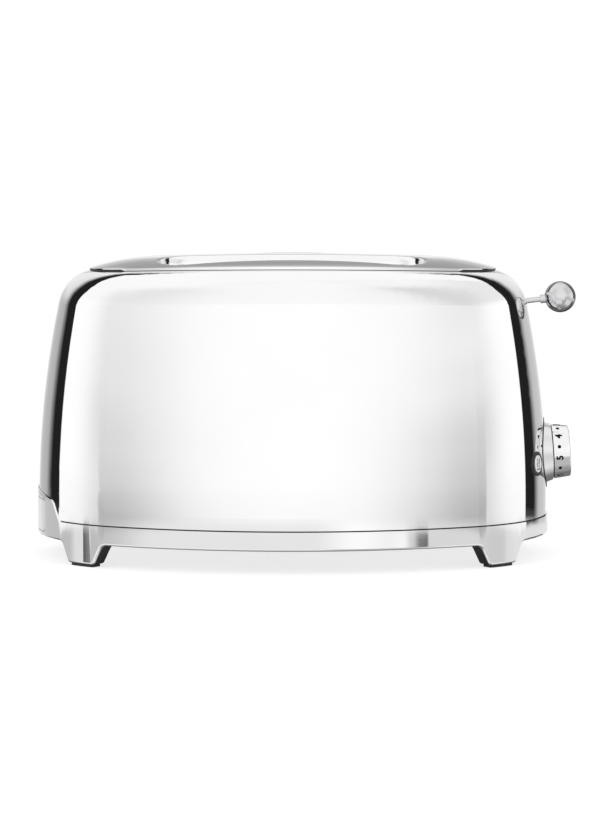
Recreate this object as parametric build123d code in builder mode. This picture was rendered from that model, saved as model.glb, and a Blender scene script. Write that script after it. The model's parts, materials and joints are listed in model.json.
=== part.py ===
from build123d import *
import math
import os

os.makedirs("parts", exist_ok=True)

# Plan of the housing: a four-centre oval, seen from above at the base
end_centre_x = 75.8
end_radius = 80.0
side_centre_y = 155.4
side_radius = end_radius + math.hypot(end_centre_x, side_centre_y)
side_half_angle = math.degrees(math.atan2(end_centre_x, side_centre_y))

# Side walls: upright at the foot, then bowed inwards to a rounded shoulder under an arched top
wall_bow_radius = 586.0
wall_bow_z = 33.0
wall_top_z = 200.0
shoulder_radius = 25.4
arch_radius = 2150.0
arch_crown_z = 178.0
arch_half_length = 170.0
shell_thickness = 1.2
shell_bottom_z = 25.8

# Plinth with its four feet, and the hump at the left end
plinth_proud = 0.7
plinth_top_z = 25.1
band_bottom_z = 13.7
foot_bottom_z = 1.5
band_width = 9.0
foot_azimuths = (50.8, 129.2, -129.2, -50.8)
foot_top_half = 16.3
foot_bottom_half = 10.0
foot_root_half = 26.0
foot_fillet_radius = 5.0
foot_corner_radius = 2.5
foot_skin = 1.3
plinth_lower_round = 1.5
lip_inset = 1.4
lip_depth = 2.4
lip_top_z = 27.6
sole_half = 9.0
sole_inset = 0.9
sole_reach = 8.4
sole_corner_radius = 1.5
seal_inset = 0.45
hump_top_z = 42.0
hump_corner = (42.2, 37.0)
hump_corner_radius = 6.0
hump_foot = (53.9, 15.2)
hump_thickness = 4.0
seam = 0.3
shell_gap = 0.2
overshoot = 1.0

# Crumb tray and its window in the hump
tray_half_width = 30.0
tray_front_half_width = 32.0
tray_front_bottom_z = 16.8
tray_front_top_z = 36.2
tray_front_thickness = 6.0
tray_floor_z = 16.8
tray_rim_z = 23.5
tray_sheet = 0.8
tray_left_x = -152.0
tray_right_x = 73.0
tray_corner_radius = 2.0
window_clearance = 0.3
window_bottom_z = 16.5
window_top_z = 36.5
window_radius = 3.0
runner_gap = 0.5
runner_sheet = 1.0
runner_foot = 4.0
runner_height = 6.0
runner_left_x = -126.0
runner_length = 196.0

# Top insert with two bread slots
insert_inset = 31.8
insert_gap = 0.3
insert_crown_z = 183.9
insert_roll_drop = 4.8
insert_roll_run = 18.6
insert_roll_radius = 135.0
insert_skirt_z = 166.0
insert_sheet = 1.2
slot_half_length = 77.0
slot_width = 32.0
slot_y = 29.0
slot_lip_radius = 5.0

# Base plate, gland and screws
plate_bottom_z = 15.0
plate_top_z = 16.2
plate_inset = 9.1
screw_lug_radius = 4.2
screw_hole_radius = 1.5
screw_hole_depth = 8.0
screw_shank_reach = 7.0
screw_clearance = 0.1
screw_head_radius = 3.2
screw_head_height = 1.6
screw_lug_places = [(x, y) for x in (-135.6, 135.6) for y in (-35.5, 35.5)] + [(0, -86.0), (0, 86.0)]
vent_y = 50.0
vent_count = 7
vent_pitch = 9.0
vent_length = 14.0
vent_width = 3.0
gland_place = (45.0, 68.0)
gland_bore_radius = 3.6
gland_neck_radius = 5.8
gland_flange_radius = 8.0
gland_flange_height = 1.3

# Chassis round the bread
chassis_x = 76.0
chassis_sheet = 1.0
chassis_half_width = 62.0
chassis_top_z = 166.0
chassis_arch_half = 35.0
chassis_arch_z = 25.0
chassis_corner_radius = 10.0
lifter_slot_bottom_z = 28.3
lifter_slot_top_z = 102.5
lifter_slot_half_width = 6.8
lifter_slot_corner = 1.5
guide_slot_half_height = 1.6
tie_bar_y = 46.0
tie_bar_z = 22.0
tie_bar_height = 8.0
tie_bar_thickness = 2.0
heater_y = 51.5
heater_sheet = 0.8
heater_bottom_z = 40.0
heater_top_z = 160.0
ribbon_rows = 9
ribbon_pitch = 12.5
ribbon_width = 1.6
ribbon_thickness = 0.3
ribbon_length = 140.0
shield_y = 58.6
shield_sheet = 0.6
shield_bottom_z = 30.0

# Bread guides, which close on the bread by guide_travel as the lever goes down
guide_reach = 14.5
guide_rail_radius = 1.2
guide_wire_radius = 0.9
guide_low_z = 43.0
guide_high_z = 158.0
guide_wires = 7
guide_wire_pitch = 22.0
guide_half_length = 79.0
guide_travel = 5.5

# Carriage, lever and latch
lever_travel = 60.0
lifter_top_z = 95.0
lifter_half_width = 6.0
lifter_depth = 6.0
lifter_sheet = 1.2
lifter_left_x = -79.0
bracket_x = 84.0
bracket_sheet = 1.5
bracket_half_width = 36.0
bracket_bottom_z = 87.0
bracket_top_z = 99.0
rod_x = 92.0
rod_radius = 3.0
slide_clearance = 0.05
slider_half_width = 6.5
slider_top_z = 112.0
riser_x = 98.5
riser_half_width = 5.0
riser_top_z = 155.0
rod_bracket_z = 160.0
rod_bracket_half_width = 12.0
rod_bracket_reach = 21.0
rod_bracket_leg = 12.0
spring_y = 8.8
spring_radius = 2.8
spring_wire = 0.8
ear_half = 3.4
ball_centre_x = 163.5
ball_centre_z = 157.5
ball_radius = 9.5
stem_radius = 1.6
stem_slope = 6.8
stem_length = 63.6
ball_bore_depth = 3.0
collar_radius = 2.6
collar_reach = 12.3
slit_half_width = 3.5
slit_bottom_z = 88.0
slit_top_z = 161.5
liner_thickness = 1.5
liner_half_width = 9.0
liner_slit_half_width = 2.5
liner_bottom_z = 85.0
liner_top_z = 166.0
magnet_x = 98.0
magnet_y = -22.0
magnet_top_z = 34.0
magnet_core_radius = 2.5
magnet_flange_radius = 7.0
magnet_waist_radius = 6.0
bobbin_flange = 1.0
core_proud = 1.0
armature_gap = 0.4
armature_z = magnet_top_z + lever_travel + armature_gap
armature_length = 16.0
armature_width = 14.0
armature_thickness = 2.0

# Dial on the right end
dial_z = 62.2
dial_tilt = 3.5
skirt_start = -2.4
skirt_length = 6.1
skirt_radius = 19.3
skirt_front_radius = 17.2
groove_length = 0.7
groove_radius = 15.6
drum_radius = 16.75
drum_front_radius = 15.6
drum_end = 14.6
drum_edge_radius = 0.8
hub_radius = 9.0
shaft_radius = 3.0
shaft_depth = 22.0
shaft_front = 6.0
dial_hole_radius = 20.6
seat_radius = 20.3
seat_flange_radius = 22.4
seat_depth = 7.0
seat_front = -2.9
seat_clearance = 0.6
recess_floor = 8.6
stop_button_radius = 7.5
stop_button_travel = 1.5
stop_button_proud = 0.5
selector_radius = 8.0
selector_front = 14.0
board_depth = 24.0
board_thickness = 1.6
board_half_width = 32.0
board_height = 44.0
board_middle_y = -6.0
carrier_y = 26.0
carrier_thickness = 3.0
carrier_left_x = 110.0
carrier_top_z = 70.0
carrier_head = 5.0

# Function buttons, one each side of the dial
button_azimuth = 24.8
button_z = 58.5
bezel_radius = 7.4
bezel_barrel_radius = 6.1
bezel_flange_depth = 3.0
bezel_depth = 11.0
bezel_floor = 1.5
bezel_proud = 0.5
button_radius = 5.25
button_clearance = 0.1
button_proud = 0.9
button_edge_radius = 0.4
button_travel = 1.0

# The part's origin is midway between the left end of the plinth and the tip of the lever ball
plinth_reach = end_centre_x + end_radius + plinth_proud
origin_x = (ball_centre_x + ball_radius - plinth_reach) / 2


def save(piece, name):
    """Label a finished piece, move it from the housing's centre to the part's origin and write it."""
    piece.part = piece.part.moved(Location((-origin_x, 0, 0)))
    piece.part.label = name
    export_step(piece.part, f"parts/{name}.step")


def oval(inset, z):
    """Plan of the housing moved inwards by inset, as a face at height z."""
    end = end_radius - inset
    side = side_radius - inset
    turn = math.radians(side_half_angle)
    join_x = end_centre_x + end * math.sin(turn)
    join_y = end * math.cos(turn)
    with BuildSketch(Plane.XY.offset(z)) as face:
        with BuildLine():
            ThreePointArc((join_x, -join_y), (end_centre_x + end, 0), (join_x, join_y))
            ThreePointArc((join_x, join_y), (0, side - side_centre_y), (-join_x, join_y))
            ThreePointArc((-join_x, join_y), (-end_centre_x - end, 0), (-join_x, -join_y))
            ThreePointArc((-join_x, -join_y), (0, side_centre_y - side), (join_x, -join_y))
        make_face()
    return face.sketch


def ring(outer_inset, inner_inset, bottom_z, top_z):
    """Oval band between two insets and two heights."""
    with BuildPart() as band:
        extrude(oval(outer_inset, bottom_z), amount=top_z - bottom_z)
        extrude(oval(inner_inset, bottom_z), amount=top_z - bottom_z, mode=Mode.SUBTRACT)
    return band.part


def wall_sector(centre, reach, azimuth, half_angle, inset, bottom_z):
    """Wedge of the housing round one centre of the oval, with the bowed wall as its outer face."""
    bow = wall_bow_radius - inset
    wall = reach - inset
    middle_z = (wall_bow_z + wall_top_z) / 2

    def lean(z):
        return bow - math.sqrt(bow**2 - (z - wall_bow_z) ** 2)

    start = math.radians(azimuth - half_angle)
    section = Plane(
        origin=(*centre, 0),
        x_dir=(math.cos(start), math.sin(start), 0),
        z_dir=(math.sin(start), -math.cos(start), 0),
    )
    with BuildPart() as sector:
        with BuildSketch(section):
            with BuildLine():
                Polyline((wall - lean(wall_top_z), wall_top_z), (0, wall_top_z), (0, bottom_z),
                         (wall, bottom_z), (wall, wall_bow_z))
                ThreePointArc((wall, wall_bow_z), (wall - lean(middle_z), middle_z),
                              (wall - lean(wall_top_z), wall_top_z))
            make_face()
        revolve(axis=Axis((*centre, 0), (0, 0, 1)), revolution_arc=2 * half_angle)
    return sector.part


def under_arch(crown_z, radius, bottom_z):
    """Everything under a shallow arch that runs the length of the housing."""
    drop = radius - math.sqrt(radius**2 - arch_half_length**2)
    with BuildPart() as under:
        with BuildSketch(Plane.XZ):
            with BuildLine():
                Polyline((arch_half_length, crown_z - drop), (arch_half_length, bottom_z),
                         (-arch_half_length, bottom_z), (-arch_half_length, crown_z - drop))
                ThreePointArc((-arch_half_length, crown_z - drop), (0, crown_z),
                              (arch_half_length, crown_z - drop))
            make_face()
        extrude(amount=side_radius, both=True)
    return under.part


def housing_form(inset, bottom_z):
    """Solid of the housing's outer form moved inwards by inset: bowed walls, arched top, round shoulder."""
    with BuildPart() as side:
        add(wall_sector((0, -side_centre_y), side_radius, 90, side_half_angle, inset, bottom_z))
        split(bisect_by=Plane.XZ, keep=Keep.BOTTOM)
    with BuildPart() as form:
        add(wall_sector((end_centre_x, 0), end_radius, 0, 90 - side_half_angle, inset, bottom_z))
        mirror(about=Plane.YZ)
        add(side.part)
        mirror(side.part, about=Plane.XZ)
        add(under_arch(arch_crown_z - inset, arch_radius - inset, bottom_z), mode=Mode.INTERSECT)
        top = form.faces().sort_by(Axis.Z)[-1]
        fillet(top.edges(), radius=shoulder_radius - inset)
    return form.part


def insert_form(inset, lowered):
    """Solid of the top insert: an oval plug with an arched top whose edge rolls down all round."""
    with BuildPart() as form:
        extrude(oval(insert_inset + insert_gap + inset, insert_skirt_z), amount=wall_top_z - insert_skirt_z)
        add(under_arch(insert_crown_z - lowered, arch_radius, insert_skirt_z), mode=Mode.INTERSECT)
        top = form.faces().sort_by(Axis.Z)[-1]
        chamfer(top.edges(), length=insert_roll_run, length2=insert_roll_drop, reference=top)
        top = form.faces().sort_by(Axis.Z)[-1]
        fillet(top.edges(), radius=insert_roll_radius)
    return form.part


def slotted_insert(inset):
    """Insert form with both bread slots, all moved inwards by inset, the slots' upper edges rounded."""
    with BuildPart() as form:
        add(insert_form(inset, inset))
        with BuildSketch(Plane.XY.offset(insert_skirt_z)):
            with Locations((0, slot_y), (0, -slot_y)):
                SlotOverall(2 * (slot_half_length + inset), slot_width + 2 * inset)
        extrude(amount=wall_top_z - insert_skirt_z, mode=Mode.SUBTRACT)
        rims = [
            edge
            for edge in form.edges(Select.LAST)
            if edge.center().Z > insert_skirt_z + slot_lip_radius
            and edge.bounding_box().size.Z < slot_lip_radius
        ]
        fillet(rims, radius=slot_lip_radius - inset)
    return form.part


def hump_prism(grow):
    """Prism along X through the left end's hump, its outline moved outwards by grow."""
    corner_y, corner_z = hump_corner
    foot_y, foot_z = hump_foot
    with BuildPart() as prism:
        with BuildSketch(Plane.YZ) as outline:
            with BuildLine():
                Polyline((-corner_y, corner_z), (-foot_y, foot_z), (foot_y, foot_z), (corner_y, corner_z))
                ThreePointArc((corner_y, corner_z), (0, hump_top_z), (-corner_y, corner_z))
            make_face()
            if grow:
                offset(amount=grow, kind=Kind.INTERSECTION)
            fillet(outline.vertices().group_by(Axis.Y)[-1], radius=hump_corner_radius + grow)
        extrude(amount=-plinth_reach - overshoot)
    return prism.part


def along(origin, azimuth, tilt):
    """Plane square to an axis that points outwards along azimuth from +X, tilted up by tilt."""
    turn = math.radians(azimuth)
    rise = math.radians(tilt)
    outward = (math.cos(rise) * math.cos(turn), math.cos(rise) * math.sin(turn), math.sin(rise))
    return Plane(origin=origin, x_dir=(-math.sin(turn), math.cos(turn), 0), z_dir=outward)


def disc(plane, radius, start, end, front_radius=None):
    """Round piece on a plane's axis from start to end, tapered where front_radius is given."""
    with BuildPart() as piece:
        with BuildSketch(plane.offset(start)):
            Circle(radius)
        if front_radius is None:
            extrude(amount=end - start)
        else:
            with BuildSketch(plane.offset(end)):
                Circle(front_radius)
            loft()
    return piece.part


def foot_plane(azimuth):
    """Plane through a foot, square to the direction in which the foot stands from its end's centre."""
    return along((math.copysign(end_centre_x, math.cos(math.radians(azimuth))), 0, 0), azimuth, 0)


def wall_lean(z):
    """How far the bowed wall has come in at height z."""
    return wall_bow_radius - math.sqrt(wall_bow_radius**2 - (z - wall_bow_z) ** 2)


def button_plane(side):
    """Plane of a function button on the housing's skin, towards the front (-1) or the rear (+1)."""
    turn = math.radians(side * button_azimuth)
    reach = end_radius - wall_lean(button_z)
    centre = (end_centre_x + reach * math.cos(turn), reach * math.sin(turn), button_z)
    return along(centre, side * button_azimuth, dial_tilt)


# Forms and places that several pieces share
dial_plane = along((end_centre_x + end_radius - wall_lean(dial_z), 0, dial_z), 0, dial_tilt)
button_planes = {"front": button_plane(-1), "rear": button_plane(1)}
outer_form = housing_form(0, shell_bottom_z)
inner_form = housing_form(shell_thickness, shell_bottom_z - overshoot)
stem_plane = Plane(
    origin=(ball_centre_x, 0, ball_centre_z),
    x_dir=(0, 1, 0),
    z_dir=(math.cos(math.radians(stem_slope)), 0, math.sin(math.radians(stem_slope))),
)

# Outer shell: one bowed skin, open below, with the top opening, lever slit and control holes
with BuildPart() as outer_shell:
    add(outer_form)
    add(inner_form, mode=Mode.SUBTRACT)
    extrude(oval(insert_inset, insert_skirt_z), amount=wall_top_z - insert_skirt_z, mode=Mode.SUBTRACT)
    add(hump_prism(seam), mode=Mode.SUBTRACT)
    with BuildSketch(Plane.YZ.offset(end_centre_x)):
        with Locations((0, (slit_bottom_z + slit_top_z) / 2)):
            SlotOverall(slit_top_z - slit_bottom_z, 2 * slit_half_width, rotation=90)
    extrude(amount=end_radius, mode=Mode.SUBTRACT)
    add(disc(dial_plane, dial_hole_radius, -seat_depth, overshoot), mode=Mode.SUBTRACT)
    for plane in button_planes.values():
        add(disc(plane, bezel_barrel_radius + shell_gap, -bezel_depth, overshoot), mode=Mode.SUBTRACT)
save(outer_shell, "outer_shell")

# Top insert: a thin arched sheet whose edges turn down, round the outside and into the two bread slots
with BuildPart() as top_insert:
    add(slotted_insert(0))
    add(slotted_insert(insert_sheet), mode=Mode.SUBTRACT)
save(top_insert, "top_insert")

# Open space under the band, between feet whose sloping flanks are rounded at the band and at the floor
with BuildPart() as feet:
    for azimuth in foot_azimuths:
        with BuildSketch(foot_plane(azimuth)) as profile:
            with BuildLine():
                Polyline((0, foot_bottom_z), (foot_bottom_half, foot_bottom_z),
                         (foot_top_half, band_bottom_z), (foot_root_half, band_bottom_z),
                         (foot_root_half, plinth_top_z), (0, plinth_top_z), close=True)
            make_face()
            mirror(about=Plane.YZ)
            fillet(profile.vertices().group_by(Axis.Y)[0], radius=foot_corner_radius)
            waist = [corner for corner in profile.vertices() if abs(abs(corner.X) - foot_top_half) < seam]
            fillet(waist, radius=foot_fillet_radius)
        extrude(amount=end_radius + 2 * plinth_proud)

with BuildPart() as between_feet:
    add(ring(-2 * plinth_proud, band_width + plinth_proud, 0, band_bottom_z))
    add(feet.part, mode=Mode.SUBTRACT)

# Hump of the plinth, and the lugs for the base screws
with BuildPart() as hump:
    add(ring(-plinth_proud, hump_thickness, plinth_top_z - lip_depth, hump_top_z + overshoot))
    add(hump_prism(0), mode=Mode.INTERSECT)

with BuildPart() as screw_lugs:
    with BuildSketch(Plane.XY.offset(plate_top_z)):
        with Locations(*screw_lug_places):
            Circle(screw_lug_radius)
    extrude(amount=lip_top_z - plate_top_z)

# Base plinth: a heavy band on four feet with the hump at its left end, a lip for the shell and screw lugs
with BuildPart() as base_plinth:
    add(ring(-plinth_proud, band_width, foot_bottom_z, plinth_top_z))
    add(between_feet.part, mode=Mode.SUBTRACT)
    outside = [
        face
        for face in base_plinth.faces().filter_by(GeomType.CYLINDER)
        if min(abs(face.radius - radius - plinth_proud) for radius in (end_radius, side_radius)) < seam
        and face.bounding_box().max.Z > plinth_top_z - seam
    ]
    lower_edges = [
        edge
        for face in outside
        for edge in face.edges()
        if edge.bounding_box().max.Z < plinth_top_z - seam
    ]
    fillet(lower_edges, radius=plinth_lower_round)
    add(ring(foot_skin, band_width, foot_bottom_z, band_bottom_z), mode=Mode.SUBTRACT)
    add(ring(lip_inset, band_width, plinth_top_z - lip_depth, lip_top_z))
    add(hump.part)
    add(screw_lugs.part)
    with BuildSketch(Plane.XY.offset(plate_top_z)):
        with Locations(*screw_lug_places):
            Circle(screw_hole_radius)
    extrude(amount=screw_hole_depth, mode=Mode.SUBTRACT)
    with BuildSketch(Plane.XY.offset(band_bottom_z - overshoot)):
        with Locations(*screw_lug_places):
            Circle(screw_head_radius + seam)
    extrude(amount=plate_top_z - band_bottom_z + overshoot, mode=Mode.SUBTRACT)
    with BuildSketch(Plane.YZ):
        with Locations((0, (window_bottom_z + window_top_z) / 2)):
            RectangleRounded(2 * (tray_front_half_width + window_clearance), window_top_z - window_bottom_z,
                             window_radius)
    extrude(amount=-plinth_reach - overshoot, mode=Mode.SUBTRACT)
save(base_plinth, "base_plinth")

# Shell seal: a dark strip in the groove between the plinth and the shell
with BuildPart() as shell_seal:
    add(ring(seal_inset, lip_inset, plinth_top_z, shell_bottom_z))
    add(hump_prism(seam), mode=Mode.SUBTRACT)
save(shell_seal, "shell_seal")

# Foot blocks: dark plastic, behind the plinth's thin feet and flush with their flanks
with BuildPart() as foot_blocks:
    add(ring(foot_skin, band_width, foot_bottom_z, band_bottom_z))
    add(between_feet.part, mode=Mode.SUBTRACT)
save(foot_blocks, "foot_blocks")

# Foot soles: rubber pads under the feet
with BuildPart() as foot_soles:
    for azimuth in foot_azimuths:
        with BuildSketch(foot_plane(azimuth)):
            Rectangle(2 * sole_half, foot_bottom_z, align=(Align.CENTER, Align.MIN))
        extrude(amount=end_radius)
    add(ring(sole_inset, sole_reach, 0, foot_bottom_z), mode=Mode.INTERSECT)
    fillet(foot_soles.edges().filter_by(Axis.Z), radius=sole_corner_radius)
save(foot_soles, "foot_soles")

# Base plate: pressed steel, resting under the screw lugs, with a gland hole and cooling slots
with BuildPart() as base_plate:
    extrude(oval(plate_inset, plate_bottom_z), amount=plate_top_z - plate_bottom_z)
    with BuildSketch(Plane.XY.offset(plate_bottom_z)):
        with Locations(*screw_lug_places):
            Circle(screw_hole_radius + screw_clearance)
        with Locations(gland_place):
            Circle(gland_neck_radius + screw_clearance)
        for side in (-1, 1):
            with Locations((0, side * vent_y)):
                with GridLocations(vent_pitch, 1, vent_count, 1):
                    SlotOverall(vent_length, vent_width, rotation=90)
    extrude(amount=plate_top_z - plate_bottom_z, mode=Mode.SUBTRACT)
save(base_plate, "base_plate")

# Base screws: pan heads under the plate, shanks up into the lugs
with BuildPart() as base_screws:
    with BuildSketch(Plane.XY.offset(plate_bottom_z - screw_head_height)):
        with Locations(*screw_lug_places):
            Circle(screw_head_radius)
    extrude(amount=screw_head_height)
    with BuildSketch(Plane.XY.offset(plate_bottom_z)):
        with Locations(*screw_lug_places):
            Circle(screw_hole_radius - screw_clearance)
    extrude(amount=plate_top_z - plate_bottom_z + screw_shank_reach)
save(base_screws, "base_screws")

# Cord gland: a flanged grommet in the rear of the base plate
with BuildPart() as cord_gland:
    for bottom_z, top_z, radius in (
        (plate_bottom_z - gland_flange_height, plate_bottom_z, gland_flange_radius),
        (plate_bottom_z, plate_top_z, gland_neck_radius),
        (plate_top_z, plate_top_z + gland_flange_height, gland_flange_radius),
    ):
        with BuildSketch(Plane.XY.offset(bottom_z)):
            with Locations(gland_place):
                Circle(radius)
                Circle(gland_bore_radius, mode=Mode.SUBTRACT)
        extrude(amount=top_z - bottom_z)
save(cord_gland, "cord_gland")

# Tray runners: two low angles on the base plate that guide the crumb tray
with BuildPart() as tray_runners:
    with BuildSketch(Plane.YZ.offset(runner_left_x)):
        for side in (-1, 1):
            with Locations((side * (tray_half_width + runner_gap + runner_sheet / 2), plate_top_z)):
                Rectangle(runner_sheet, runner_height, align=(Align.CENTER, Align.MIN))
            with Locations((side * (tray_half_width + runner_gap + runner_foot / 2), plate_top_z)):
                Rectangle(runner_foot, runner_sheet, align=(Align.CENTER, Align.MIN))
    extrude(amount=runner_length)
save(tray_runners, "tray_runners")

# Crumb tray: a shallow pan of thin sheet
with BuildPart() as crumb_tray:
    with BuildSketch(Plane.XY.offset(tray_floor_z)):
        with Locations(((tray_left_x + tray_right_x) / 2, 0)):
            RectangleRounded(tray_right_x - tray_left_x, 2 * tray_half_width, tray_corner_radius)
        add(oval(tray_front_thickness, 0), mode=Mode.INTERSECT)
    extrude(amount=tray_rim_z - tray_floor_z)
    offset(amount=-tray_sheet, openings=crumb_tray.faces().sort_by(Axis.Z)[-1])
save(crumb_tray, "crumb_tray")

# Tray front: the curved panel in the hump's window, with a finger hook on its lower edge
with BuildPart() as tray_front:
    add(ring(-plinth_proud, tray_front_thickness, tray_front_bottom_z, tray_front_top_z))
    with BuildSketch(Plane.YZ):
        with Locations((0, (tray_front_bottom_z + tray_front_top_z) / 2)):
            RectangleRounded(2 * tray_front_half_width, tray_front_top_z - tray_front_bottom_z, window_radius)
    extrude(amount=-plinth_reach - overshoot, mode=Mode.INTERSECT)
save(tray_front, "tray_front")


def chassis_plate(start_x):
    """Upright sheet across the housing, with an arch for the tray and slots for what passes through it."""
    with BuildPart() as plate:
        with BuildSketch(Plane.YZ.offset(start_x)) as outline:
            with Locations((0, (plate_top_z + chassis_top_z) / 2)):
                Rectangle(2 * chassis_half_width, chassis_top_z - plate_top_z)
            fillet(outline.vertices().group_by(Axis.Y)[-1], radius=chassis_corner_radius)
            with Locations((0, plate_top_z)):
                Rectangle(2 * chassis_arch_half, chassis_arch_z - plate_top_z,
                          align=(Align.CENTER, Align.MIN), mode=Mode.SUBTRACT)
            for side in (-1, 1):
                with Locations((side * slot_y, (lifter_slot_bottom_z + lifter_slot_top_z) / 2)):
                    RectangleRounded(2 * lifter_slot_half_width, lifter_slot_top_z - lifter_slot_bottom_z,
                                     lifter_slot_corner, mode=Mode.SUBTRACT)
                for reach in (-1, 1):
                    middle = side * slot_y + reach * (guide_reach - guide_travel / 2)
                    with Locations((middle, guide_low_z), (middle, guide_high_z)):
                        SlotOverall(guide_travel + 2 * guide_slot_half_height, 2 * guide_slot_half_height,
                                    mode=Mode.SUBTRACT)
        extrude(amount=chassis_sheet)
    return plate.part


with BuildPart() as chassis_plate_left:
    add(chassis_plate(-chassis_x - chassis_sheet))
save(chassis_plate_left, "chassis_plate_left")

with BuildPart() as chassis_plate_right:
    add(chassis_plate(chassis_x))
save(chassis_plate_right, "chassis_plate_right")


def between_plates(y, thickness, bottom_z, top_z):
    """Sheet that stands lengthwise between the two chassis plates."""
    with BuildPart() as sheet:
        with BuildSketch(Plane.XZ.offset(-y - thickness / 2)):
            with Locations((0, (bottom_z + top_z) / 2)):
                Rectangle(2 * chassis_x, top_z - bottom_z)
        extrude(amount=thickness)
    return sheet.part


# Heat shields: thin bright sheets between the outer heaters and the shell
for name, side in (("front", -1), ("rear", 1)):
    with BuildPart() as heat_shield:
        add(between_plates(side * shield_y, shield_sheet, shield_bottom_z, heater_top_z))
    save(heat_shield, f"heat_shield_{name}")

# Heater boards: mica sheets, one outside each slot and one between them
heater_places = (("front", -heater_y), ("centre", 0), ("rear", heater_y))
for name, y in heater_places:
    with BuildPart() as heater_board:
        add(between_plates(y, heater_sheet, heater_bottom_z, heater_top_z))
    save(heater_board, f"heater_board_{name}")

# Heating ribbons: flat strips across both faces of every heater board
with BuildPart() as heating_ribbons:
    for name, y in heater_places:
        for face in (-1, 1):
            near = y + face * heater_sheet / 2 + (0 if face < 0 else ribbon_thickness)
            with BuildSketch(Plane.XZ.offset(-near)):
                with Locations((0, (heater_bottom_z + heater_top_z) / 2)):
                    with GridLocations(1, ribbon_pitch, 1, ribbon_rows):
                        Rectangle(ribbon_length, ribbon_width)
            extrude(amount=ribbon_thickness)
save(heating_ribbons, "heating_ribbons")


def bread_guide(y):
    """Wire cage beside a slice: two long rails joined by upright wires."""
    with BuildPart() as guide:
        with BuildSketch(Plane.YZ.offset(-guide_half_length)):
            with Locations((y, guide_low_z), (y, guide_high_z)):
                Circle(guide_rail_radius)
        extrude(amount=2 * guide_half_length)
        with BuildSketch(Plane.XY.offset(guide_low_z)):
            with Locations((0, y)):
                with GridLocations(guide_wire_pitch, 1, guide_wires, 1):
                    Circle(guide_wire_radius)
        extrude(amount=guide_high_z - guide_low_z)
    return guide.part


# Bread guides: one wire cage each side of each slot
for name, y in (
    ("front_outer", -slot_y - guide_reach),
    ("front_inner", -slot_y + guide_reach),
    ("rear_inner", slot_y - guide_reach),
    ("rear_outer", slot_y + guide_reach),
):
    with BuildPart() as guide:
        add(bread_guide(y))
    save(guide, f"bread_guide_{name}")

# Bread lifters: long channels under the slices, ending at the carriage bracket
for name, side in (("front", -1), ("rear", 1)):
    with BuildPart() as lifter:
        with BuildSketch(Plane.YZ.offset(lifter_left_x)):
            with Locations((side * slot_y, lifter_top_z)):
                Rectangle(2 * lifter_half_width, lifter_depth, align=(Align.CENTER, Align.MAX))
            with Locations((side * slot_y, lifter_top_z - lifter_sheet)):
                Rectangle(2 * (lifter_half_width - lifter_sheet), lifter_depth,
                          align=(Align.CENTER, Align.MAX), mode=Mode.SUBTRACT)
        extrude(amount=bracket_x - lifter_left_x)
    save(lifter, f"bread_lifter_{name}")

# Guide rod: stands on the base plate and carries the slider
with BuildPart() as guide_rod:
    with BuildSketch(Plane.XY.offset(plate_top_z)):
        with Locations((rod_x, 0)):
            Circle(rod_radius)
    extrude(amount=rod_bracket_z - plate_top_z)
save(guide_rod, "guide_rod")

# Rod bracket: an angle on the right chassis plate that caps the rod and holds the return spring's upper hook
with BuildPart() as rod_bracket:
    with BuildSketch(Plane.XZ.offset(-rod_bracket_half_width)):
        with Locations((chassis_x + chassis_sheet, rod_bracket_z)):
            Rectangle(rod_bracket_reach, bracket_sheet, align=(Align.MIN, Align.MIN))
            Rectangle(bracket_sheet, rod_bracket_leg, align=(Align.MIN, Align.MAX))
    extrude(amount=2 * rod_bracket_half_width)
save(rod_bracket, "rod_bracket")

# Carriage bracket: cross plate behind the lifters, slider on the rod, and riser up to the lever
with BuildPart() as carriage_bracket:
    with BuildSketch(Plane.YZ.offset(bracket_x)):
        with Locations((0, (bracket_bottom_z + bracket_top_z) / 2)):
            Rectangle(2 * bracket_half_width, bracket_top_z - bracket_bottom_z)
    extrude(amount=bracket_sheet)
    with BuildSketch(Plane.XY.offset(bracket_bottom_z)):
        with Locations((bracket_x + bracket_sheet, 0)):
            Rectangle(riser_x - bracket_x - bracket_sheet, 2 * slider_half_width,
                      align=(Align.MIN, Align.CENTER))
    extrude(amount=slider_top_z - bracket_bottom_z)
    with BuildSketch(Plane.YZ.offset(riser_x)):
        with Locations((0, bracket_bottom_z)):
            Rectangle(2 * riser_half_width, riser_top_z - bracket_bottom_z, align=(Align.CENTER, Align.MIN))
    extrude(amount=bracket_sheet)
    with BuildSketch(Plane.XY.offset(slider_top_z - bracket_sheet)):
        with Locations((rod_x, spring_y)):
            Rectangle(2 * ear_half, 2 * ear_half)
    extrude(amount=bracket_sheet)
    with BuildSketch(Plane.XY.offset(armature_z + armature_thickness)):
        with Locations((bracket_x, magnet_y)):
            Rectangle(magnet_x + armature_length / 2 - bracket_x, armature_width,
                      align=(Align.MIN, Align.CENTER))
    extrude(amount=bracket_sheet)
    with BuildSketch(Plane.XY.offset(bracket_bottom_z)):
        with Locations((rod_x, 0)):
            Circle(rod_radius + slide_clearance)
    extrude(amount=slider_top_z - bracket_bottom_z, mode=Mode.SUBTRACT)
save(carriage_bracket, "carriage_bracket")

# Armature plate: the soft steel tongue that the magnet holds while the bread toasts
with BuildPart() as armature_plate:
    with BuildSketch(Plane.XY.offset(armature_z)):
        with Locations((magnet_x, magnet_y)):
            Rectangle(armature_length, armature_width)
    extrude(amount=armature_thickness)
save(armature_plate, "armature_plate")

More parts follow.
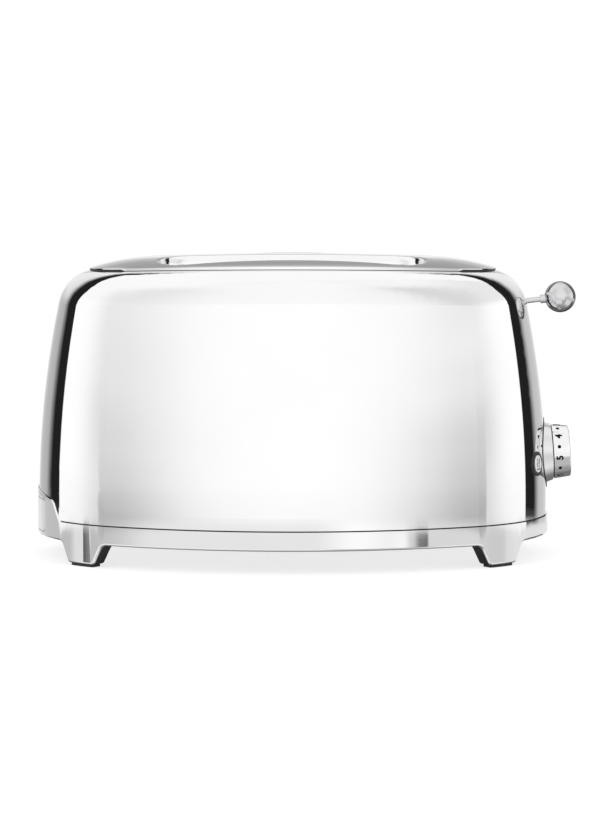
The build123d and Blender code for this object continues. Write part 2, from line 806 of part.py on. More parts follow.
# Magnet frame: a steel foot on the base plate with the core that meets the armature
with BuildPart() as magnet_frame:
    with BuildSketch(Plane.XY.offset(plate_top_z)):
        with Locations((magnet_x, magnet_y)):
            Rectangle(armature_length, armature_width)
    extrude(amount=bracket_sheet)
    with BuildSketch(Plane.XY.offset(plate_top_z)):
        with Locations((magnet_x, magnet_y)):
            Circle(magnet_core_radius)
    extrude(amount=magnet_top_z - plate_top_z)
save(magnet_frame, "magnet_frame")

# Magnet coil: a bobbin with two flanges round the core
with BuildPart() as magnet_coil:
    bobbin_bottom_z = plate_top_z + bracket_sheet
    with BuildSketch(Plane.XZ.offset(-magnet_y)):
        with BuildLine():
            bore = magnet_x + magnet_core_radius + slide_clearance
            flange = magnet_x + magnet_flange_radius
            waist = magnet_x + magnet_waist_radius
            top_z = magnet_top_z - core_proud
            Polyline((bore, bobbin_bottom_z), (flange, bobbin_bottom_z),
                     (flange, bobbin_bottom_z + bobbin_flange), (waist, bobbin_bottom_z + bobbin_flange),
                     (waist, top_z - bobbin_flange),
                     (flange, top_z - bobbin_flange),
                     (flange, top_z), (bore, top_z), close=True)
        make_face()
    revolve(axis=Axis((magnet_x, magnet_y, 0), (0, 0, 1)))
save(magnet_coil, "magnet_coil")

# Return spring: an extension spring from the slider's ear up to the rod bracket, kept as its outer tube
with BuildPart() as return_spring:
    with BuildSketch(Plane.XY.offset(slider_top_z)):
        with Locations((rod_x, spring_y)):
            Circle(spring_radius)
            Circle(spring_radius - spring_wire, mode=Mode.SUBTRACT)
    extrude(amount=rod_bracket_z - slider_top_z)
save(return_spring, "return_spring")

# Lever stem: a thin polished rod from the riser out through the slit
with BuildPart() as lever_stem:
    add(disc(stem_plane, stem_radius, -stem_length, -ball_bore_depth))
save(lever_stem, "lever_stem")

# Lever ball: a turned ball with a short collar, bored for the stem
with BuildPart() as lever_ball:
    with Locations((ball_centre_x, 0, ball_centre_z)):
        Sphere(ball_radius)
    add(disc(stem_plane, collar_radius, -collar_reach, -ball_bore_depth))
    add(disc(stem_plane, stem_radius + slide_clearance, -collar_reach - overshoot, -ball_bore_depth),
        mode=Mode.SUBTRACT)
save(lever_ball, "lever_ball")

# Lever slot liner: a dark curved strip inside the shell, with a narrower slit for the stem
with BuildPart() as lever_slot_liner:
    add(housing_form(shell_thickness + slide_clearance, shell_bottom_z))
    add(housing_form(shell_thickness + liner_thickness, shell_bottom_z - overshoot), mode=Mode.SUBTRACT)
    with BuildSketch(Plane.YZ.offset(end_centre_x)):
        with Locations((0, (liner_bottom_z + liner_top_z) / 2)):
            Rectangle(2 * liner_half_width, liner_top_z - liner_bottom_z)
    extrude(amount=end_radius, mode=Mode.INTERSECT)
    with BuildSketch(Plane.YZ.offset(end_centre_x)):
        with Locations((0, (slit_bottom_z + slit_top_z) / 2)):
            SlotOverall(slit_top_z - slit_bottom_z, 2 * liner_slit_half_width, rotation=90)
    extrude(amount=end_radius, mode=Mode.SUBTRACT)
save(lever_slot_liner, "lever_slot_liner")

# Control board: upright behind the dial, square to the dial's axis
with BuildPart() as control_board:
    with BuildSketch(dial_plane.offset(-board_depth)):
        with Locations((0, board_middle_y)):
            Rectangle(2 * board_half_width, board_height)
    extrude(amount=-board_thickness)
save(control_board, "control_board")

# Board carrier: two ribs on the base plate that hold the board along its back
with BuildPart() as board_carrier:
    back = board_depth + board_thickness
    rise = math.radians(dial_tilt)
    back_x = dial_plane.origin.X - back * math.cos(rise)
    back_z = dial_plane.origin.Z - back * math.sin(rise)

    def board_back(z):
        """X of the board's back face at height z."""
        return back_x - (z - back_z) * math.tan(rise)

    for side in (-1, 1):
        with BuildSketch(Plane.XZ.offset(-side * carrier_y - carrier_thickness / 2)):
            with BuildLine():
                Polyline((carrier_left_x, plate_top_z), (board_back(plate_top_z), plate_top_z),
                         (board_back(carrier_top_z), carrier_top_z),
                         (board_back(carrier_top_z) - carrier_head, carrier_top_z), close=True)
            make_face()
        extrude(amount=carrier_thickness)
save(board_carrier, "board_carrier")

# Browning selector: the round body of the control on the board, bored for the dial's shaft
with BuildPart() as browning_selector:
    add(disc(dial_plane, selector_radius, -board_depth, -selector_front))
    bore_radius = shaft_radius + slide_clearance
    add(disc(dial_plane, bore_radius, -shaft_depth - overshoot, -selector_front + overshoot), mode=Mode.SUBTRACT)
save(browning_selector, "browning_selector")

# Dial seat: a dark dish behind the shell's hole, whose flange lies against the skin's inner side
with BuildPart() as dial_seat:
    add(disc(dial_plane, seat_flange_radius, -seat_depth, 0))
    add(inner_form, mode=Mode.INTERSECT)
    add(disc(dial_plane, seat_radius, seat_front, overshoot), mode=Mode.SUBTRACT)
    add(disc(dial_plane, shaft_radius + seat_clearance, -seat_depth - overshoot, overshoot),
        mode=Mode.SUBTRACT)
save(dial_seat, "dial_seat")

# Dial shaft: from the selector out into the drum
with BuildPart() as dial_shaft:
    add(disc(dial_plane, shaft_radius, -shaft_depth, shaft_front))
save(dial_shaft, "dial_shaft")

# Dial skirt: a tapered ring at the foot of the drum
skirt_end = skirt_start + skirt_length
with BuildPart() as dial_skirt:
    add(disc(dial_plane, skirt_radius, skirt_start, skirt_end, skirt_front_radius))
    add(disc(dial_plane, hub_radius + slide_clearance, skirt_start - overshoot, skirt_end + overshoot),
        mode=Mode.SUBTRACT)
save(dial_skirt, "dial_skirt")

# Dial drum: hub, groove and tapered grip, recessed for the stop button
drum_start = skirt_end + groove_length
with BuildPart() as dial_drum:
    add(disc(dial_plane, drum_radius, drum_start, drum_end, drum_front_radius))
    rim = dial_drum.edges().filter_by(GeomType.CIRCLE).sort_by(Axis.X)[-1]
    fillet(rim, radius=drum_edge_radius)
    add(disc(dial_plane, groove_radius, skirt_end, drum_start))
    add(disc(dial_plane, hub_radius, skirt_start, skirt_end))
    add(disc(dial_plane, shaft_radius + slide_clearance, skirt_start - overshoot, shaft_front),
        mode=Mode.SUBTRACT)
    add(disc(dial_plane, stop_button_radius + button_clearance, recess_floor, drum_end + overshoot),
        mode=Mode.SUBTRACT)
save(dial_drum, "dial_drum")

# Stop button: the round push button in the middle of the drum
with BuildPart() as stop_button:
    stop_button_back = recess_floor + stop_button_travel + seam
    add(disc(dial_plane, stop_button_radius, stop_button_back, drum_end + stop_button_proud))
    rim = stop_button.edges().filter_by(GeomType.CIRCLE).sort_by(Axis.X)[-1]
    fillet(rim, radius=button_edge_radius)
save(stop_button, "stop_button")

# Function buttons: each slides in a bezel, whose flange follows the shell's curve and whose floor stops it
button_back = bezel_floor - bezel_depth + button_travel + seam
for name, plane in button_planes.items():
    with BuildPart() as button_bezel:
        add(disc(plane, bezel_radius, -bezel_flange_depth, bezel_proud))
        add(outer_form, mode=Mode.SUBTRACT)
        add(disc(plane, bezel_barrel_radius, -bezel_depth, bezel_proud))
        add(disc(plane, button_radius + button_clearance, -bezel_depth + bezel_floor, bezel_proud + overshoot),
            mode=Mode.SUBTRACT)
    save(button_bezel, f"button_bezel_{name}")

    with BuildPart() as function_button:
        add(disc(plane, button_radius, button_back, button_proud))
        rim = function_button.edges().filter_by(GeomType.CIRCLE).sort_by(Axis.X)[-1]
        fillet(rim, radius=button_edge_radius)
    save(function_button, f"function_button_{name}")

# Tie bars: two flat bars that join the chassis plates near the floor
with BuildPart() as tie_bars:
    with BuildSketch(Plane.YZ.offset(-chassis_x)):
        for side in (-1, 1):
            with Locations((side * tie_bar_y, tie_bar_z)):
                Rectangle(tie_bar_thickness, tie_bar_height)
    extrude(amount=2 * chassis_x)
save(tie_bars, "tie_bars")
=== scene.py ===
import bpy
import bmesh
import json
import math
from mathutils import Matrix, Vector


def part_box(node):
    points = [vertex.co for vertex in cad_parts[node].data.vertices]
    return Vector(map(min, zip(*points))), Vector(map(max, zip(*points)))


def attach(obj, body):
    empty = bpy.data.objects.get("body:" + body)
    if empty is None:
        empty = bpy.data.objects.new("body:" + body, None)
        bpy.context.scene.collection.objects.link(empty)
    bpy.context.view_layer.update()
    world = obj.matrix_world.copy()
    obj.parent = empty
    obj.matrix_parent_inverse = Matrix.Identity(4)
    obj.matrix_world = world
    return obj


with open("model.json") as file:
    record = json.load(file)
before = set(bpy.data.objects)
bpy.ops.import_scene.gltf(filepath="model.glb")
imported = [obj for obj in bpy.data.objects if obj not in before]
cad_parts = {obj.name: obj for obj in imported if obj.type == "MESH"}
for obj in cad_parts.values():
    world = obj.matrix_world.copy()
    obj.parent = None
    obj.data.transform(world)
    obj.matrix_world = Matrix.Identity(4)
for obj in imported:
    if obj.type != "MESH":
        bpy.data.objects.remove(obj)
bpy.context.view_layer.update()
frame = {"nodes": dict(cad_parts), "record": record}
NODES = frame["nodes"]

# Camera at the photograph's viewing angle: its place and its target in metres, lens and sensor in millimetres
CAMERA_PLACE = Vector((0.0118, -1.930, 0.272))
CAMERA_TARGET = Vector((0.0008, 0.0, 0.0879))
LENS_MM = 138.7
SENSOR_MM = 36.0

# Directions
UP = Vector((0, 0, 1))
TOWARDS_CAMERA = Vector((0, -1, 0))

# Range that holds nearly all of a noise's values
NOISE_LOW = 0.3
NOISE_HIGH = 0.7

# The dial: its tilt, where its axis meets the shell, and the axis
DIAL_TILT = math.radians(3.5)
DIAL_ORIGIN = Vector((0.14682, 0.0, 0.0622))
DIAL_AXIS = Vector((math.cos(DIAL_TILT), 0, math.sin(DIAL_TILT)))
DIAL_UP = Vector((-math.sin(DIAL_TILT), 0, math.cos(DIAL_TILT)))

# The dial's drum, in metres along the axis and out from it, and the black band of painted shade in the groove
# before it
DRUM_START = 0.0044
DRUM_END = 0.0146
DRUM_RADIUS = 0.01675
DRUM_FRONT_RADIUS = 0.0156
GROOVE_START = 0.0037
GROOVE_RADIUS = 0.0156
GROOVE_SHADE_THICKNESS = 0.0004
GROOVE_CLEARANCE = 0.00002

# Marks round the drum: place along the axis, step in degrees from number to number, the setting that faces
# the camera at rest, and the figures' boldness as a share of their size
LAST_NUMBER = 6
MARK_DEPTH_ALONG = 0.0078
MARK_STEP = 48.3
MARK_AT_REST = 4.82
MARK_HEIGHT = 0.0044
MARK_PROUD = 0.00012
FIGURE_BOLDNESS = 0.045
FIGURE_RESOLUTION = 6
DOT_RADIUS = 0.0011
DOT_TOP_SHARE = 0.94

# Black ring of painted shade in the gap round the dial's foot, with the radius at which the shell beside the
# dial's hole is felt for, and the index dot on the housing
FOOT_RING_INNER = 0.0195
FOOT_RING_HOLE = 0.0205
FOOT_RING_OUTER = 0.0215
FOOT_RING_BACK = -0.0028
FOOT_RING_PROUD = 0.0004
FOOT_RING_LAP = FOOT_RING_PROUD / 4
SHELL_BESIDE_HOLE = 0.0208
INDEX_ANGLE = math.radians(15.0)
INDEX_FROM_AXIS = 0.0245
INDEX_RADIUS = 0.0009

# Distance out from a skin at which a ray towards it starts
RAY_START = 0.02

# Black strip of painted shade in the gap round the top insert: where its taller ends begin, its heights above
# and depth below the shell, its thickness, its clearance from the insert's wall, how far out from that wall
# the shell is felt for, and the level and distance from which a ray finds the wall
GAP_SHADE_FROM_X = 0.102
GAP_SHADE_END_HEIGHT = 0.0013
GAP_SHADE_LINE_HEIGHT = 0.00045
GAP_SHADE_DEPTH = 0.0008
GAP_SHADE_THICKNESS = 0.00018
GAP_SHADE_CLEARANCE = 0.00003
GAP_SHADE_TO_SHELL = 0.0008
GAP_SHADE_LEVEL = 0.1745
OUTSIDE = 0.25

# Signs on the function buttons, in metres, with the star's first ray in degrees
SIGN_PROUD = 0.00006
SIGN_STROKE = 0.0006
WAVE_POINTS = 33
WAVE_TURNS = 1.5
WAVE_HALF_GAP = 0.0013
WAVE_SWAY = 0.0005
WAVE_LEAN = 0.0008
WAVE_HEIGHT = 0.0054
WAVE_LIFT = 0.0005
BAR_HALF_LENGTH = 0.0026
BAR_LEVEL = -0.0032
STAR_RAYS = 6
STAR_FIRST_RAY = 30
STAR_INNER = 0.0004
STAR_OUTER = 0.0030
BARB_INNER = 0.0019
BARB_OUTER = 0.0025
BARB_SPREAD = 0.0007

# The studio that polished metal mirrors is a brightness for each direction. Angles are in degrees:
# elevation, and azimuth from the camera's side with right as plus. LEVELS and DEPTHS are stops of angle and
# value. A pair by itself is where a soft step runs from 0 to 1, in degrees, but in the direction's y for
# BEHIND and in its x for BACKDROP_RIGHT and GAP.

# Tent: its grey folds left and right, the creases in them, and a greyer wall on the right
FOLD_CENTRE = 58.0
FOLD_CENTRE_SOFTNESS = 1.0
FOLD_INNER_WIDTH = 25.0
FOLD_OUTER_WIDTH = 20.0
CREASE_AT = 62.5
CREASE_HALF_WIDTH = 0.8
CREASE_DEPTHS = ((-7, 0.48), (-3, 0.34), (1, 0.14), (6, 0.0))
LEFT_FOLD_DEPTHS = ((-7.4, 0.53), (-3, 0.37), (1, 0.32), (10, 0.22), (20, 0.17), (50, 0.17), (70, 0.03))
RIGHT_FOLD_DEPTHS = ((-7.4, 0.56), (-3, 0.44), (1, 0.38), (9, 0.20), (14, 0.15), (22, 0.12), (60, 0.12),
                     (75, 0.0))
WALL_BEGINS = (38, 56)
WALL_ENDS = (140, 125)
WALL_DEPTHS = ((13, 0.0), (24, 0.15), (56, 0.15), (70, 0.03))
TENT_LEVELS = ((-7.4, 0.955), (-2, 1.0), (18, 1.0), (30, 0.95))

# Table: elevation of its far edge, levels round the object, the part on the right that begins lower down,
# and a dark flag on the left. Further below it is pale, but not beside the dial or straight down, and it is
# dark behind: the dark straight down and behind is the object's shadow on the floor, painted into the studio.
TABLE_EDGE = -7.5
TABLE_EDGE_REAR_LEFT = -7.0
TABLE_EDGE_REAR_RIGHT = -7.43
TABLE_EDGE_SOFTNESS = 0.08
REAR_LEFT_ENDS = (-114, -108)
REAR_RIGHT_BEGINS = (98, 104)
TABLE_LEVELS = ((-155, 0.76), (-128, 0.52), (-95, 0.51), (-86, 0.74), (-71, 0.74), (-70, 0.51), (-57, 0.55),
                (-40, 0.79), (5, 0.80), (18, 0.98), (40, 0.74), (52, 0.70), (70, 0.74))
LOWER_TABLE_EDGE = -7.61
LOWER_TABLE_SOFTNESS = 0.02
LOWER_TABLE_BEGINS = (26, 31)
LOWER_TABLE_MEETS_EDGE = (45, 62)
LOWER_TABLE_LEVELS = ((31.5, 0.95), (34.2, 0.64), (36.6, 0.20), (38.6, 0.15), (39.3, 0.69), (52, 0.70),
                      (62, 0.63), (69, 0.595), (79, 0.595), (87, 0.72), (97, 0.76))
FLAG_BEGINS = (-78.6, -78.0)
FLAG_ENDS = (-71.0, -72.5)
FLAG_LEVELS = ((-78, 0.10), (-73, 0.22))
BESIDE_DIAL_BEGINS = (8, 14)
BESIDE_DIAL_ENDS = (46, 40)
PALE_ABOVE = (-56, -44)
PALE_LEVEL = 0.88
BELOW_LEVELS = ((-85, 0.2), (-75, 0.3), (-50, 0.5))
BELOW_BEGINS = (-14, -24)
BEHIND_BEGINS = (0.0, 0.25)
SHADOW_BEHIND_LEVEL = 0.17

# Backdrop: levels at its foot and higher up, by how far round from the camera's side, and in its middle
BACKDROP_FOOT_LEVELS = ((128, 0.40), (145, 0.46), (158, 0.55), (164, 0.80))
BACKDROP_UPPER_LEVELS = ((128, 0.58), (150, 0.76), (160, 0.81))
BACKDROP_UPPER_BEGINS = (2, 14)
BACKDROP_WHITE_BEGINS = (31, 36)
BACKDROP_RIGHT_BEGINS = (-0.1, 0.1)
BACKDROP_RIGHT_MORE = 0.08
BACKDROP_MIDDLE_LEVELS = ((-30, 0.3), (-10, 0.7), (-5, 0.82), (5, 0.82), (9, 0.58), (20, 0.38), (28, 0.33),
                          (33, 0.6), (36, 1.0))
BACKDROP_MIDDLE_BEGINS = (169.3, 170.7)

# Tent's rear edge and the backdrop's lit part, each a rounded corner in the direction's y and z: the corner's
# centre, its radius and its softness. The dark gap between them is at the sides, where x is large.
TENT_CORNER = (0.60, 0.47, 0.25)
TENT_CORNER_SOFTNESS = 0.008
BACKDROP_CORNER = (0.88, 0.40, 0.23)
BACKDROP_CORNER_SOFTNESS = 0.09
GAP_BEGINS = (0.10, 0.23)
GAP_BRIGHTNESS = 0.014

# Strengths of the world, where the camera sees a strength of 1 as white
STUDIO_STRENGTH = 1.09
PLAIN_STRENGTH = 0.75
WHITE_STRENGTH = 1.0

# Floor: its size and level in metres, its grey as it lights the object, and its grey and lift as the camera
# sees it, which together are white where no shadow falls
FLOOR_HALF = 12.0
FLOOR_LEVEL = -0.0002
FLOOR_GREY = 0.9
FLOOR_SEEN_GREY = 0.38
FLOOR_LIFT = 0.74

# Lamps: name, place in metres and power in watts of each, and the size and target that they share
LAMPS = (("lamp_left", (-1.2, -1.4, 1.8), 9.0), ("lamp_right", (1.4, -1.0, 1.5), 5.0))
LAMP_SIZE = 1.6
LAMP_TARGET = Vector((0, 0, 0.09))


def new_material(name):
    """New node material, with its node tree and its principled shader."""
    material = bpy.data.materials.new(name)
    material.use_nodes = True
    shader = material.node_tree.nodes["Principled BSDF"]
    return material, material.node_tree, shader


def coordinates(tree, stretch=(1, 1, 1)):
    """Object coordinates in metres, multiplied by stretch."""
    source = tree.nodes.new("ShaderNodeTexCoord")
    mapping = tree.nodes.new("ShaderNodeMapping")
    mapping.inputs["Scale"].default_value = stretch
    tree.links.new(source.outputs["Object"], mapping.inputs["Vector"])
    return mapping.outputs["Vector"]


def noise(tree, vector, scale, detail, roughness=0.55):
    """Noise texture's factor."""
    node = tree.nodes.new("ShaderNodeTexNoise")
    node.inputs["Scale"].default_value = scale
    node.inputs["Detail"].default_value = detail
    node.inputs["Roughness"].default_value = roughness
    tree.links.new(vector, node.inputs["Vector"])
    return node.outputs["Fac"]


def spread(tree, factor, low, high):
    """A noise's factor, spread over low to high."""
    node = tree.nodes.new("ShaderNodeMapRange")
    node.inputs["From Min"].default_value = NOISE_LOW
    node.inputs["From Max"].default_value = NOISE_HIGH
    node.inputs["To Min"].default_value = low
    node.inputs["To Max"].default_value = high
    tree.links.new(factor, node.inputs["Value"])
    return node.outputs["Result"]


def blend_colours(tree, factor, first, second):
    """Colour that runs from first to second with a noise's factor."""
    node = tree.nodes.new("ShaderNodeValToRGB")
    node.color_ramp.elements[0].position = NOISE_LOW
    node.color_ramp.elements[0].color = (*first, 1)
    node.color_ramp.elements[1].position = NOISE_HIGH
    node.color_ramp.elements[1].color = (*second, 1)
    tree.links.new(factor, node.inputs["Fac"])
    return node.outputs["Color"]


def bump(tree, shader, height, strength, distance):
    """Bump from a height, in metres of distance."""
    node = tree.nodes.new("ShaderNodeBump")
    node.inputs["Strength"].default_value = strength
    node.inputs["Distance"].default_value = distance
    tree.links.new(height, node.inputs["Height"])
    tree.links.new(node.outputs["Normal"], shader.inputs["Normal"])


def chrome(name, bright, dull, rough):
    """Polished plate: faint smudges and fine wiping marks over a mirror finish, on slightly wavy metal."""
    material, tree, shader = new_material(name)
    shader.inputs["Metallic"].default_value = 1.0
    smudge = noise(tree, coordinates(tree), scale=22.0, detail=5.0)
    tree.links.new(blend_colours(tree, smudge, dull, bright), shader.inputs["Base Color"])
    wipe = noise(tree, coordinates(tree, stretch=(1, 1, 9)), scale=60.0, detail=6.0, roughness=0.7)
    tree.links.new(spread(tree, wipe, *rough), shader.inputs["Roughness"])
    waves = noise(tree, coordinates(tree), scale=9.0, detail=1.0)
    bump(tree, shader, waves, strength=0.02, distance=0.0004)
    return material


def turned_metal(name, bright, dull, rough, grooves):
    """Lathe-turned metal: fine rings round the dial's axis, about so many grooves to the metre."""
    material, tree, shader = new_material(name)
    shader.inputs["Metallic"].default_value = 1.0
    shader.inputs["Anisotropic"].default_value = 0.4
    source = tree.nodes.new("ShaderNodeTexCoord")
    turn = tree.nodes.new("ShaderNodeVectorRotate")
    turn.rotation_type = "Y_AXIS"
    turn.inputs["Center"].default_value = DIAL_ORIGIN
    turn.inputs["Angle"].default_value = -DIAL_TILT
    tree.links.new(source.outputs["Object"], turn.inputs["Vector"])
    rings = tree.nodes.new("ShaderNodeTexNoise")
    rings.noise_dimensions = "1D"
    rings.inputs["Scale"].default_value = grooves
    rings.inputs["Detail"].default_value = 3.0
    split = tree.nodes.new("ShaderNodeSeparateXYZ")
    tree.links.new(turn.outputs["Vector"], split.inputs["Vector"])
    tree.links.new(split.outputs["X"], rings.inputs["W"])
    patch = noise(tree, coordinates(tree), scale=120.0, detail=4.0)
    tree.links.new(blend_colours(tree, patch, dull, bright), shader.inputs["Base Color"])
    tree.links.new(spread(tree, rings.outputs["Fac"], *rough), shader.inputs["Roughness"])
    bump(tree, shader, rings.outputs["Fac"], strength=0.12, distance=0.0001)
    return material


def sheet_metal(name, bright, dull, rough, grain=(1, 1, 12), scale=90.0, heat_tint=None, edge=1.0):
    """Rolled or plated sheet: grain along one direction, blotches, and stains of a heat tint if it has one.

    An edge below 1 dulls its shine where it is seen at a low angle.
    """
    material, tree, shader = new_material(name)
    shader.inputs["Metallic"].default_value = 1.0
    shader.inputs["Specular Tint"].default_value = (edge, edge, edge, 1)
    fine = noise(tree, coordinates(tree, grain), scale, detail=5.0)
    blotch = noise(tree, coordinates(tree), scale=18.0, detail=3.0)
    colour = blend_colours(tree, blotch, dull, bright)
    if heat_tint:
        mixed = tree.nodes.new("ShaderNodeMix")
        mixed.data_type = "RGBA"
        mixed.blend_type = "MULTIPLY"
        stain = noise(tree, coordinates(tree), scale=35.0, detail=4.0)
        tree.links.new(spread(tree, stain, low=0.0, high=0.6), mixed.inputs["Factor"])
        tree.links.new(colour, mixed.inputs["A"])
        mixed.inputs["B"].default_value = (*heat_tint, 1)
        colour = mixed.outputs["Result"]
    tree.links.new(colour, shader.inputs["Base Color"])
    tree.links.new(spread(tree, fine, *rough), shader.inputs["Roughness"])
    bump(tree, shader, fine, strength=0.1, distance=0.0001)
    return material


def plastic(name, light, dark, rough, grain=900.0, depth=0.00004, shine=0.5):
    """Moulded plastic, rubber, board or paint: fine grain of a depth in metres, and slight mottling."""
    material, tree, shader = new_material(name)
    mottle = noise(tree, coordinates(tree), scale=40.0, detail=3.0)
    fine = noise(tree, coordinates(tree), grain, detail=2.0)
    tree.links.new(blend_colours(tree, mottle, dark, light), shader.inputs["Base Color"])
    tree.links.new(spread(tree, mottle, *rough), shader.inputs["Roughness"])
    shader.inputs["Specular IOR Level"].default_value = shine
    bump(tree, shader, fine, strength=0.25, distance=depth)
    return material


# Finish of each material: the function that makes it and its values, with colours as linear red, green, blue
FINISHES = {
    "chrome_housing": (chrome, dict(
        bright=(0.93, 0.93, 0.94), dull=(0.91, 0.91, 0.92), rough=(0.02, 0.04))),
    "chrome_insert": (chrome, dict(
        bright=(0.92, 0.92, 0.93), dull=(0.88, 0.88, 0.89), rough=(0.05, 0.09))),
    "chrome_plinth": (chrome, dict(
        bright=(0.91, 0.91, 0.92), dull=(0.88, 0.88, 0.89), rough=(0.02, 0.04))),
    "chrome_lever": (sheet_metal, dict(
        bright=(0.70, 0.70, 0.71), dull=(0.62, 0.62, 0.63), rough=(0.10, 0.16),
        grain=(1, 1, 1), scale=260.0, edge=0.2)),
    "satin_skirt": (turned_metal, dict(
        bright=(0.92, 0.92, 0.93), dull=(0.86, 0.86, 0.87), rough=(0.22, 0.34), grooves=4000.0)),
    "dial_metal": (turned_metal, dict(
        bright=(0.90, 0.90, 0.90), dull=(0.85, 0.85, 0.85), rough=(0.07, 0.14), grooves=3000.0)),
    "black_plastic": (plastic, dict(
        light=(0.014, 0.014, 0.015), dark=(0.008, 0.008, 0.009), rough=(0.34, 0.46))),
    "sole_rubber": (plastic, dict(
        light=(0.03, 0.03, 0.03), dark=(0.018, 0.018, 0.018), rough=(0.7, 0.85))),
    "zinc_steel": (sheet_metal, dict(
        bright=(0.62, 0.63, 0.64), dull=(0.50, 0.51, 0.53), rough=(0.28, 0.42))),
    "screw_steel": (sheet_metal, dict(
        bright=(0.58, 0.58, 0.58), dull=(0.45, 0.45, 0.46), rough=(0.25, 0.4),
        grain=(1, 1, 1), scale=400.0)),
    "bright_shield": (sheet_metal, dict(
        bright=(0.78, 0.78, 0.78), dull=(0.70, 0.70, 0.71), rough=(0.15, 0.3),
        grain=(12, 1, 1), heat_tint=(0.80, 0.62, 0.40))),
    "rod_steel": (sheet_metal, dict(
        bright=(0.72, 0.72, 0.73), dull=(0.64, 0.64, 0.65), rough=(0.12, 0.2),
        grain=(1, 1, 0.1), scale=300.0)),
    "tray_aluminium": (sheet_metal, dict(
        bright=(0.76, 0.76, 0.77), dull=(0.66, 0.66, 0.67), rough=(0.25, 0.4),
        grain=(0.08, 1, 1), scale=300.0, heat_tint=(0.86, 0.74, 0.56))),
    "mica_board": (plastic, dict(
        light=(0.60, 0.53, 0.40), dark=(0.42, 0.35, 0.25), rough=(0.35, 0.55), grain=300.0, depth=0.00008)),
    "nichrome": (sheet_metal, dict(
        bright=(0.30, 0.27, 0.25), dull=(0.18, 0.16, 0.15), rough=(0.4, 0.55),
        grain=(0.1, 1, 1), scale=300.0)),
    "guide_wire": (sheet_metal, dict(
        bright=(0.68, 0.68, 0.69), dull=(0.55, 0.55, 0.56), rough=(0.18, 0.3),
        grain=(1, 1, 1), scale=200.0, heat_tint=(0.85, 0.72, 0.52))),
    "white_plastic": (plastic, dict(
        light=(0.90, 0.90, 0.89), dark=(0.86, 0.86, 0.85), rough=(0.22, 0.3), grain=700.0, depth=0.00001)),
    "coil_copper": (sheet_metal, dict(
        bright=(0.72, 0.33, 0.18), dull=(0.55, 0.22, 0.11), rough=(0.3, 0.4),
        grain=(0.2, 0.2, 30), scale=200.0)),
    "circuit_board": (plastic, dict(
        light=(0.05, 0.20, 0.08), dark=(0.03, 0.13, 0.05), rough=(0.3, 0.4), grain=500.0)),
    "spring_steel": (sheet_metal, dict(
        bright=(0.5, 0.5, 0.5), dull=(0.38, 0.38, 0.39), rough=(0.25, 0.35),
        grain=(1, 1, 40), scale=120.0)),
    "shaft_nylon": (plastic, dict(
        light=(0.80, 0.78, 0.72), dark=(0.72, 0.70, 0.64), rough=(0.35, 0.45))),
    "black_paint": (plastic, dict(
        light=(0.006, 0.006, 0.006), dark=(0.004, 0.004, 0.004), rough=(0.5, 0.65),
        grain=2000.0, depth=0.00001, shine=0.1)),
}
MATERIALS = {name: make(name, **values) for name, (make, values) in FINISHES.items()}


def dress_nodes():
    """Give every CAD node the material of its slot."""
    for entry in frame["record"]["subparts"]:
        mesh = NODES[entry["node"]].data
        mesh.materials.clear()
        mesh.materials.append(MATERIALS[entry["material_slot"]])


def mesh_object(name, mesh, body, material):
    """Object from a mesh, riding on a body, with the material of a slot."""
    piece = bpy.data.objects.new(name, mesh)
    bpy.context.scene.collection.objects.link(piece)
    mesh.materials.clear()
    mesh.materials.append(MATERIALS[material])
    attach(piece, body)


def text_mesh(text, height, thickness):
    """Mesh of one figure, centred on the origin, height tall, with its back at zero.

    The extrusion only parts front from back: both get their real heights at the end.
    """
    curve = bpy.data.curves.new("figure", "FONT")
    curve.body = text
    curve.size = 1.0
    curve.resolution_u = FIGURE_RESOLUTION
    curve.offset = FIGURE_BOLDNESS
    curve.extrude = 0.5
    holder = bpy.data.objects.new("figure", curve)
    bpy.context.scene.collection.objects.link(holder)
    graph = bpy.context.evaluated_depsgraph_get()
    mesh = bpy.data.meshes.new_from_object(holder.evaluated_get(graph))
    bpy.data.objects.remove(holder)
    bpy.data.curves.remove(curve)
    low = [min(v.co[i] for v in mesh.vertices) for i in range(3)]
    high = [max(v.co[i] for v in mesh.vertices) for i in range(3)]
    scale = height / (high[1] - low[1])
    for vertex in mesh.vertices:
        vertex.co.x = (vertex.co.x - (low[0] + high[0]) / 2) * scale
        vertex.co.y = (vertex.co.y - (low[1] + high[1]) / 2) * scale
        vertex.co.z = thickness if vertex.co.z > 0 else 0.0
    return mesh


def dot_mesh(radius, thickness, sides=32):
    """Low round plate, centred on the origin, with its back at zero."""
    mesh = bpy.data.meshes.new("dot")
    shape = bmesh.new()
    bmesh.ops.create_cone(shape, cap_ends=True, segments=sides, depth=thickness,
                          radius1=radius, radius2=radius * DOT_TOP_SHARE,
                          matrix=Matrix.Translation((0, 0, thickness / 2)))
    shape.to_mesh(mesh)
    shape.free()
    return mesh


def dial_point(along, radius, angle):
    """Point round the dial's axis: angle 0 faces the front, a quarter turn is up."""
    radial = TOWARDS_CAMERA * math.cos(angle) + DIAL_UP * math.sin(angle)
    return DIAL_ORIGIN + DIAL_AXIS * along + radial * radius


def onto_drum(mesh, setting):
    """Wrap a flat mark round the drum at a setting: its right side points up, its top to the housing."""
    angle = math.radians((MARK_AT_REST - setting) * MARK_STEP)
    taper = (DRUM_FRONT_RADIUS - DRUM_RADIUS) / (DRUM_END - DRUM_START)
    for vertex in mesh.vertices:
        along = MARK_DEPTH_ALONG - vertex.co.y
        radius = DRUM_RADIUS + taper * (along - DRUM_START) + vertex.co.z
        vertex.co = dial_point(along, radius, angle + vertex.co.x / radius)
    mesh.update()


